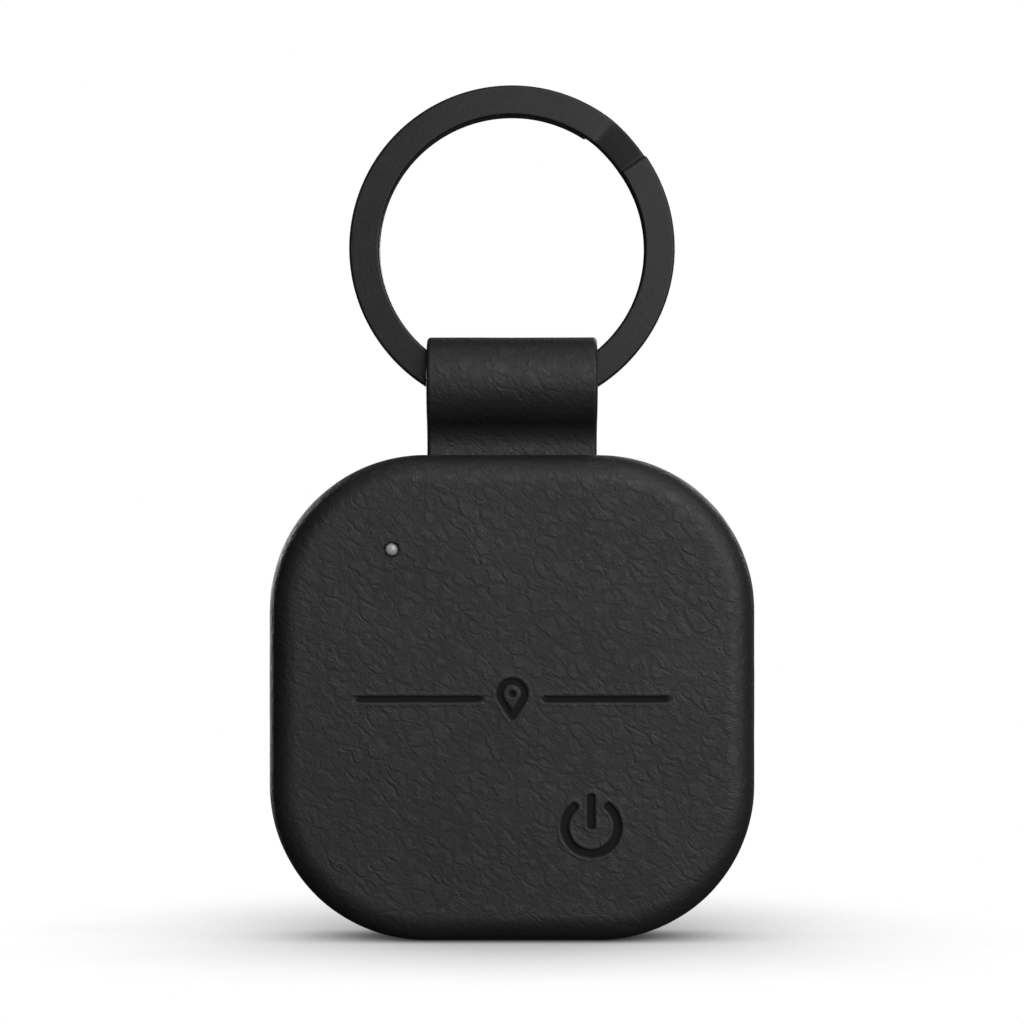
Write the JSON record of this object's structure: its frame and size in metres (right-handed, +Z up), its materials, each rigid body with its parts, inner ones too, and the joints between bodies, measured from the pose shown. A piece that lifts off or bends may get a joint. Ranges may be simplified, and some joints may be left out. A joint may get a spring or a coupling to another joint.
{
  "type": "bluetooth tracker tag",
  "caption": "Square leather-covered finder tag with round corners, hanging from a flat split ring by a folded leather strap; power button and status light on its face.",
  "frame": {"origin": "top of the key ring's inner wall, midway through its thickness: the point by which a hook or a bag loop carries the tag", "axes": "+Z up, with the strap and the case hanging below; the face with the light and the button looks towards -Y; +X is to the right seen from that face"},
  "size_m": [0.0414, 0.008, 0.0733],
  "materials": {
    "black_leather": "fine pebbled grain, soft sheen",
    "black_steel": "satin black coating on spring steel",
    "steel": "plain bright",
    "shell_plastic": "fine matt black",
    "seal_rubber": "matt",
    "lens": "frosted light pipe, unlit",
    "board": "green solder mask",
    "chip": "matt black epoxy",
    "white_ceramic": "off-white ceramic",
    "brass": "satin",
    "copper": "enamelled copper wire",
    "ferrite": "matt dark grey sheet",
    "battery_foil": "satin laminated foil",
    "tape": "double-sided foam tape",
    "red_wire": "glossy insulation",
    "black_wire": "glossy insulation"
  },
  "bodies": {
    "key_ring": {"key_ring": "black_steel"},
    "strap": {"leather_strap": "black_leather"},
    "case": {"strap_tail": "black_leather", "strap_clamp_plate": "steel", "strap_screw_left": "steel", "strap_screw_right": "steel", "front_leather": "black_leather", "front_shell": "shell_plastic", "case_seal": "seal_rubber", "rear_shell": "shell_plastic", "rear_leather": "black_leather", "case_screw_1": "steel", "case_screw_2": "steel", "case_screw_3": "steel", "case_screw_4": "steel", "led_lens": "lens", "led_chip": "white_ceramic", "circuit_board": "board", "radio_module": "steel", "chip_antenna": "white_ceramic", "charger_chip": "chip", "crystal": "steel", "switch_body": "chip", "board_screw_left": "steel", "board_screw_right": "steel", "battery": "battery_foil", "battery_tape": "tape", "battery_lead_red": "red_wire", "battery_lead_black": "black_wire", "buzzer_disc": "brass", "buzzer_ceramic": "white_ceramic", "buzzer_pin_1": "brass", "buzzer_pin_2": "brass", "charging_coil": "copper", "coil_shield": "ferrite", "coil_lead_left": "copper", "coil_lead_right": "copper"},
    "power_button": {"button_pad": "black_leather", "button_plunger": "shell_plastic", "switch_rod": "steel"}
  },
  "joints": [
    {"name": "loop_swing", "type": "hinge", "parent": "key_ring", "child": "strap", "pos_m": [0, 0, -0.02278], "axis": [1, 0, 0], "range_deg": [-120, 120]},
    {"name": "strap_bend", "type": "hinge", "parent": "strap", "child": "case", "pos_m": [0, 0, -0.0288], "axis": [1, 0, 0], "range_deg": [-45, 45], "stiffness_Nm_per_rad": 0.02},
    {"name": "power_button_press", "type": "slide", "parent": "case", "child": "power_button", "axis": [0, 1, 0], "range_m": [0, 0.00025], "stiffness_N_per_m": 2000, "springref_m": -0.0005}
  ]
}
